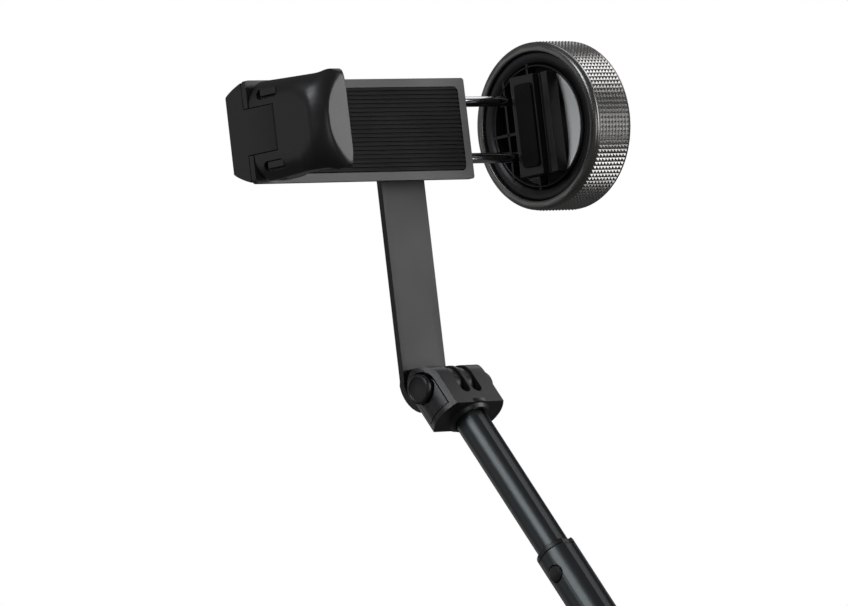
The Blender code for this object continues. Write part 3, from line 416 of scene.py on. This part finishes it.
# ---------------------------------------------------------------- round head
def build_knurl():
    """Pyramids in straight rows and columns on the ring's outer face."""
    bm = bmesh.new()
    lip = 0.35
    low = RING_START + lip
    high = RING_START + RING_WIDTH - lip
    valley = HEAD_R - KNURL_DEPTH
    inner = HEAD_R - 1.5

    def point(radius, x, angle):
        return bm.verts.new((x * MM, radius * math.cos(angle) * MM, radius * math.sin(angle) * MM))

    pitch = math.tau / KNURL_ROWS
    width = (high - low) / KNURL_COLUMNS
    grid = [[point(valley, low + width * c, pitch * r) for c in range(KNURL_COLUMNS + 1)]
            for r in range(KNURL_ROWS)]
    edge_low = [[point(inner, RING_START, pitch * r), point(HEAD_R - 0.35, RING_START, pitch * r),
                 point(HEAD_R - 0.15, RING_START + 0.15, pitch * r)] for r in range(KNURL_ROWS)]
    edge_high = [[point(HEAD_R - 0.15, RING_START + RING_WIDTH - 0.15, pitch * r),
                  point(HEAD_R - 0.4, RING_START + RING_WIDTH, pitch * r),
                  point(inner, RING_START + RING_WIDTH, pitch * r)] for r in range(KNURL_ROWS)]
    for r in range(KNURL_ROWS):
        n = (r + 1) % KNURL_ROWS
        for c in range(KNURL_COLUMNS):
            tip = point(HEAD_R, low + width * (c + 0.5), pitch * (r + 0.5))
            corners = (grid[r][c], grid[r][c + 1], grid[n][c + 1], grid[n][c])
            for i in range(4):
                bm.faces.new((corners[i], corners[(i + 1) % 4], tip))
        row = edge_low[r] + [grid[r][0]]
        after = edge_low[n] + [grid[n][0]]
        for i in range(3):
            bm.faces.new((row[i], row[i + 1], after[i + 1], after[i]))
        row = [grid[r][-1]] + edge_high[r]
        after = [grid[n][-1]] + edge_high[n]
        for i in range(3):
            bm.faces.new((row[i], row[i + 1], after[i + 1], after[i]))
        bm.faces.new((edge_high[r][2], edge_low[r][0], edge_low[n][0], edge_high[n][2]))
    ring = as_object("knurled_grip_ring", bm, HEAD)
    dress(ring, "knurled_ring", "ring_metal")


def build_bezel():
    profile = [(17.8, 1.2), (17.8, 0.25), (17.9, 0.08), (18.1, 0.0), (19.2, 0.0), (19.45, 0.1),
               (19.85, 0.55), (20.0, 0.85), (20.0, 1.2)]
    bezel = as_object("bezel_band", turned(profile, "x", 128), HEAD)
    soften(bezel, 0, angle=28)
    dress(bezel, "bezel_ring", "bezel_metal")


def rib(low, high, near, far):
    """A bar of the open disc, between two corners in the head's (y, z), rounded a little."""
    return prism(rounded_box(low, high, 0.12, 2), near, far, "x")


def join(name, shapes, matrix):
    """Several closed shapes as one mesh, each left whole."""
    whole = bmesh.new()
    for bm in shapes:
        bmesh.ops.recalc_face_normals(bm, faces=bm.faces[:])
        part = bpy.data.meshes.new("part")
        bm.to_mesh(part)
        bm.free()
        whole.from_mesh(part)
        bpy.data.meshes.remove(part)
    return as_object(name, whole, matrix)


def build_open_disc():
    """Ribs, bosses and rings inside the bezel, with a polished dish in front of the bar."""
    near, far = 0.7, 3.6
    boss_y = ROD_BACK + HEAD_OUT / MM
    shapes = [
        turned([(15.0, far), (15.0, 1.5), (15.3, 1.1), (16.9, 0.7), (17.5, 0.9), (17.5, far)],
               "x", 96),
        turned([(14.1, far), (14.1, 1.0), (14.3, 0.8), (14.5, 0.8), (14.65, 1.0), (14.65, far)],
               "x", 96),
        rib((9.7, -13.4), (10.4, 13.4), 1.0, far),
        rib((6.0, -1.1), (15.2, -0.35), 1.0, far),
        rib((4.4, -7.4), (6.0, 7.4), 0.9, far),
        rib((1.3, 11.2), (2.0, 15.2), 1.0, far),
        rib((1.3, -15.2), (2.0, -11.2), 1.0, far),
        rib((9.7, 6.3), (14.6, 7.0), 1.6, far),
        rib((9.7, -7.0), (14.6, -6.3), 1.6, far),
    ]
    for side in (-1, 1):
        boss = turned([(1.45, far), (1.45, near + 0.2), (1.65, near), (2.9, near),
                       (3.1, near + 0.2), (3.1, far)], "x", 40)
        bmesh.ops.translate(boss, verts=boss.verts[:],
                            vec=(0, boss_y * MM, side * ROD_Z * MM))
        shapes.append(boss)
    disc = join("open_ribbed_disc", shapes, HEAD)
    soften(disc, 0.1, 2, 40)
    dress(disc, "rib_disc", "deep_plastic")

    dish = as_object("polished_dish", turned([(0.01, far), (0.01, 3.0), (6, 2.9), (9, 2.6),
                                              (11, 2.1), (12.6, 1.5), (13.6, 1.1), (13.9, 1.0),
                                              (13.9, far)], "x", 128), HEAD)
    keep = [(-20, -20), (-7.8, -20), (-7.8, 20), (-20, 20)]
    carve(dish, prism(keep, -5, 10, "x"), HEAD, "INTERSECT")
    soften(dish, 0.08, 2, 40)
    dish.data.materials.append(FINISH["bar_plastic"])
    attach(dish, BODY_OF["rib_disc"])


def build_head():
    build_knurl()
    build_bezel()
    build_open_disc()
    refine("jaw_bar", "black_plastic", 0.25, 3)
    refine("jaw_bar_liner", "rubber", 0.2, 3)
    refine("head_shell", "deep_plastic", 0.1)
    refine("head_cover", "black_plastic", 0.3, 3)
    for word in ("upper", "lower"):
        refine(f"rod_{word}", "chrome", 0.25, 3)
        stretch_spring(f"rod_spring_{word}", "screw_steel")
    refine("rod_bridge", "black_plastic", 0.2)


# ---------------------------------------------------------------- clamp
def build_clamp():
    refine("front_frame", "frame_metal", 0.22, 3)
    refine("clamp_shell", "clamp_metal", 0.2, 3, 30)
    refine("end_block", "jaw_plastic", 0.28, 3, 30)
    refine("clamp_pad", "rubber", 0.13, 2)


# ---------------------------------------------------------------- arm and fork
def build_arm():
    refine("arm_strip", "arm_metal", 0.22, 3)
    refine("arm_knuckle", "black_plastic", 0.2, 3)
    for word in ("left", "right"):
        refine(f"rivet_{word}", "screw_steel", 0.12)
    refine("pivot_washer", "screw_steel", 0.08)
    refine("pivot_bolt", "screw_steel", 0.2, 3)
    refine("pivot_nut", "screw_steel", 0.1)


def arc(centre, radius, start, stop, steps):
    span = [math.radians(start + (stop - start) * k / steps) for k in range(steps + 1)]
    return [(centre[0] + radius * math.cos(a), centre[1] + radius * math.sin(a)) for a in span]


def fork_side(inset):
    """Side view (y, z) of the fork about the hinge axis."""
    half, drop = FORK_R - inset, FORK_DROP - inset
    return [(-half, -drop), (half, -drop)] + arc((0, 0), half, 0, 180, 32)


def bow(y):
    return FORK_BULGE * (1 - min(1.0, abs(y) / FORK_R) ** 2)


def bowed_plan(half):
    reach = FORK_R + 1
    ys = [-reach + 2 * reach * k / 24 for k in range(25)]
    return [(half + bow(y), y) for y in ys] + [(-half - bow(y), y) for y in reversed(ys)]


def side_slab(side, half, inset):
    """The fork's side view from a bowed seat out past the fork."""
    bm = bmesh.new()
    outline = []
    corners = fork_side(inset)
    for (y0, z0), (y1, z1) in zip(corners, corners[1:] + corners[:1]):
        cuts = max(1, round(abs(y1 - y0) / 0.5))
        outline += [(y0 + (y1 - y0) * k / cuts, z0 + (z1 - z0) * k / cuts) for k in range(cuts)]
    seat = [bm.verts.new(Vector((side * (half + bow(y)), y, z)) * MM) for y, z in outline]
    far = [bm.verts.new(Vector((side * 14, y, z)) * MM) for y, z in outline]
    ring_faces(bm, [seat, far], close=False)
    bm.faces.new(far)
    count = len(outline)
    rim = [bm.edges.get((seat[k], seat[(k + 1) % count])) for k in range(count)]
    bmesh.ops.triangle_fill(bm, use_beauty=True, edges=rim)
    return bm


def settle(made):
    """Turns a piece's modifiers into its own mesh."""
    graph = bpy.context.evaluated_depsgraph_get()
    result = bpy.data.meshes.new_from_object(made.evaluated_get(graph))
    made.modifiers.clear()
    made.data = result


def drum(radius, low, high, axis="x"):
    return prism(circle(radius, 48), low, high, axis)


def build_fork():
    place = Matrix.Translation(HINGE)
    fork = as_object("hinge_fork", prism(fork_side(0), -12, 12, "x"), place)
    carve(fork, prism(bowed_plan(FORK_HALF), -15, 15), place, "INTERSECT")
    soften(fork, 0.55, 4, 50)
    settle(fork)
    carve(fork, turned([(0.01, -FORK_DROP + 1), (5.6, -FORK_DROP + 1), (5.6, -FORK_DROP),
                        (5.25, -FORK_DROP - 0.05), (5.0, -FORK_DROP - 0.25),
                        (4.85, -FORK_DROP - 0.7), (4.6, -FORK_DROP - 1.0),
                        (0.01, -FORK_DROP - 1.1)]),
          place, "UNION")
    carve(fork, drum(TUBE_1_R + 0.15, -20, -FORK_DROP - 0.1, "z"), place)
    for side in (-1, 1):
        middle = side * SLOT_X
        slot = [(middle + SLOT_HALF, 8), (middle - SLOT_HALF, 8)]
        slot += arc((middle, -SLOT_DROP + SLOT_HALF), SLOT_HALF, 180, 360, 20)
        carve(fork, prism(slot, -8, 8, "y"), place)
        well = sorted((side * 5.6, side * 16))
        carve(fork, drum(3.3, *well), place)
        carve(fork, side_slab(side, FORK_HALF - 0.8, 1.25), place)
    carve(fork, drum(1.6, -10, 10), place)
    relief = [(5.9, 0.4), (6.6, 0.4), (6.6, -5.6), (3.0, -5.6)] + arc((0, 0), 5.28, -57, -2, 16)
    carve(fork, prism(relief, -7.4, 7.4, "x"), place)
    soften(fork, 0.12, 2, 40, even=True)
    dress(fork, "fork_block", "black_plastic")

    for side, word in ((-1, "left"), (1, "right")):
        cover = as_object(f"hinge_side_panel_{word}", side_slab(side, FORK_HALF - 0.6, 1.5), place)
        carve(cover, prism(bowed_plan(FORK_HALF), -15, 15), place, "INTERSECT")
        through = sorted((side * 2, side * 20))
        carve(cover, drum(3.75, *through), place)
        soften(cover, 0.15, 3, 40, even=True)
        dress(cover, f"side_cover_{word}", "black_plastic")
        face = FORK_HALF + FORK_BULGE
        cap = turned([(0.01, face - 1.4), (3.1, face - 1.4), (3.1, face + 0.15), (3.55, face + 0.2),
                      (3.55, face + 0.75), (3.45, face + 1.05), (3.2, face + 1.25),
                      (2.9, face + 1.25), (2.75, face + 1.12), (2.6, face + 1.05),
                      (0.01, face + 1.12)], "x", 72)
        if side < 0:
            bmesh.ops.scale(cap, vec=(-1, 1, 1), verts=cap.verts[:])
        button = as_object(f"hinge_end_cap_{word}", cap, place)
        soften(button, 0, angle=40)
        dress(button, f"hinge_cap_{word}", "black_plastic")
    refine("hinge_bolt", "screw_steel", 0.1)
    refine("hinge_nut", "screw_steel", 0.1)


# ---------------------------------------------------------------- pole and handle
def build_pole():
    for section in (1, 2, 3, 4):
        refine(f"tube_{section}", "tube_metal", 0.08, 2, 24)
        refine(f"guide_plug_{section}", "black_plastic", 0.1)
        if section > 1:
            refine(f"collar_{section}", "black_plastic", 0.2, 3, 40)
    refine("lock_button", "black_plastic", 0.3, 3, 40)


def build_grip():
    """Rubber sleeve with a row of shallow rings."""
    low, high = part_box("grip_sleeve")
    bottom, top, radius = low[2] / MM, high[2] / MM, high[0] / MM
    inner = radius - 1.15
    profile = [(inner, bottom), (radius - 0.8, bottom), (radius - 0.25, bottom + 0.25),
               (radius, bottom + 0.8)]
    rings = 16
    margin = 5.0
    pitch = (top - bottom - 2 * margin) / rings
    for k in range(rings):
        start = bottom + margin + pitch * k
        for share, sunk in ((0.3, 0.0), (0.4, 0.12), (0.5, 0.45), (0.7, 0.45), (0.8, 0.12),
                            (0.9, 0.0)):
            profile.append((radius - sunk, start + pitch * share))
    profile += [(radius, top - 0.8), (radius - 0.25, top - 0.25), (radius - 0.8, top),
                (inner, top)]
    grip = as_object("ringed_grip", turned(profile, "z", 96))
    soften(grip, 0, angle=50)
    dress(grip, "grip_sleeve", "rubber")


def build_handle():
    build_grip()
    refine("handle_shell", "black_plastic", 0.2, 2)
    refine("guide_liner", "tube_metal", 0.1)
    refine("handle_collar", "frame_metal", 0.25, 3)
    refine("end_cap", "black_plastic", 0.3, 3)
    refine("remote_case", "jaw_plastic", 0.35, 3)
    refine("remote_back", "black_plastic", 0.1)
    refine("remote_board", "board", 0.05)
    refine("coin_cell", "screw_steel", 0.2)
    refine("button_dome", "screw_steel", 0)
    refine("shutter_button", "frame_metal", 0.3, 3)


# ---------------------------------------------------------------- studio
VIEW_FROM = Vector((-0.7056699, -0.54120128, -0.45730861))
VIEW_UP = Vector((0.02598676, -0.66475783, 0.7466068))
VIEW_DISTANCE = 2.105
VIEW_LENS = 382.0
LOOK_AT = HINGE + Vector((-4.17, -10.26, 17.65)) * MM
FLOOR_Z = -3.5


def build_camera():
    camera = bpy.data.objects.new("camera", bpy.data.cameras.new("camera"))
    bpy.context.collection.objects.link(camera)
    camera.data.sensor_width = 36
    camera.data.lens = VIEW_LENS
    camera.data.clip_start = 0.01
    camera.data.clip_end = 100
    back = VIEW_FROM.normalized()
    right = VIEW_UP.cross(back).normalized()
    up = back.cross(right)
    turn = Matrix((right, up, back)).transposed().to_4x4()
    camera.matrix_world = Matrix.Translation(LOOK_AT + back * VIEW_DISTANCE) @ turn
    bpy.context.scene.camera = camera


def build_floor():
    """Pale wherever the camera sees it, and no light on the object from below."""
    bm = bmesh.new()
    bmesh.ops.create_grid(bm, x_segments=8, y_segments=8, size=60)
    floor = as_object("pale_floor", bm, Matrix.Translation((0, 0, FLOOR_Z)))
    pale = finish("pale_floor", (0.9, 0.9, 0.9), 0.8, patch=0.5, shift=0.01)
    shader = pale.node_tree.nodes["Principled BSDF"]
    shader.inputs["Emission Color"].default_value = (1, 1, 1, 1)
    shader.inputs["Emission Strength"].default_value = 0.88
    floor.data.materials.append(pale)
    floor.visible_diffuse = False
    floor.visible_glossy = False


def soft_box(name, towards, distance, size, power, colour=(1, 1, 1)):
    """A rectangular lamp on a direction from the object, facing it."""
    lamp = bpy.data.objects.new(name, bpy.data.lights.new(name, "AREA"))
    bpy.context.collection.objects.link(lamp)
    lamp.data.shape = "RECTANGLE"
    lamp.data.size, lamp.data.size_y = size
    lamp.data.energy = power
    lamp.data.color = colour
    lamp.visible_camera = False
    direction = Vector(towards).normalized()
    lamp.location = LOOK_AT + direction * distance
    lamp.rotation_euler = direction.to_track_quat("Z", "Y").to_euler()


def build_world():
    """White seen by the camera; as light, a dim room that is brighter overhead."""
    world = bpy.data.worlds.new("studio")
    bpy.context.scene.world = world
    world.use_nodes = True
    tree = world.node_tree
    tree.nodes.clear()
    out = tree.nodes.new("ShaderNodeOutputWorld")
    mix = tree.nodes.new("ShaderNodeMixShader")
    seen = tree.nodes.new("ShaderNodeBackground")
    seen.inputs["Color"].default_value = (1, 1, 1, 1)
    seen.inputs["Strength"].default_value = 1.0
    light = tree.nodes.new("ShaderNodeBackground")
    light.inputs["Strength"].default_value = 1.0
    where = tree.nodes.new("ShaderNodeTexCoord")
    split = tree.nodes.new("ShaderNodeSeparateXYZ")
    room = tree.nodes.new("ShaderNodeValToRGB")
    room.color_ramp.elements[0].position = 0.25
    room.color_ramp.elements[0].color = (0.07, 0.07, 0.07, 1)
    room.color_ramp.elements[1].position = 0.9
    room.color_ramp.elements[1].color = (0.16, 0.16, 0.165, 1)
    half = tree.nodes.new("ShaderNodeMath")
    half.operation = "MULTIPLY_ADD"
    half.inputs[1].default_value = 0.5
    half.inputs[2].default_value = 0.5
    path = tree.nodes.new("ShaderNodeLightPath")
    tree.links.new(where.outputs["Generated"], split.inputs["Vector"])
    tree.links.new(split.outputs["Z"], half.inputs[0])
    tree.links.new(half.outputs["Value"], room.inputs["Fac"])
    tree.links.new(room.outputs["Color"], light.inputs["Color"])
    tree.links.new(path.outputs["Is Camera Ray"], mix.inputs["Fac"])
    tree.links.new(light.outputs["Background"], mix.inputs[1])
    tree.links.new(seen.outputs["Background"], mix.inputs[2])
    tree.links.new(mix.outputs["Shader"], out.inputs["Surface"])


def build_studio():
    bpy.context.scene.view_settings.view_transform = "Standard"
    build_world()
    build_floor()
    build_camera()
    soft_box("key_front_right", (0.72, -0.64, -0.34), 1.3, (0.8, 0.8), 8.2)
    soft_box("top_right", (0.72, -0.28, 0.64), 1.4, (0.9, 0.9), 3.3)
    soft_box("back_top", (0.1, 0.78, 0.61), 1.4, (0.7, 0.7), 1)
    soft_box("left_fill", (-0.706, 0.541, 0.457), 1.4, (0.6, 0.6), 0.42)
    soft_box("front_fill", (-0.41, -0.7, -0.59), 1.4, (0.6, 0.6), 1.8)
    soft_box("tube_light", (-0.8, -0.38, 0.45), 1.4, (0.85, 0.5), 7.5, (0.94, 0.98, 1.0))


# ---------------------------------------------------------------- assembly
build_studio()
build_jaw()
build_head()
build_clamp()
build_arm()
build_fork()
build_pole()
build_handle()
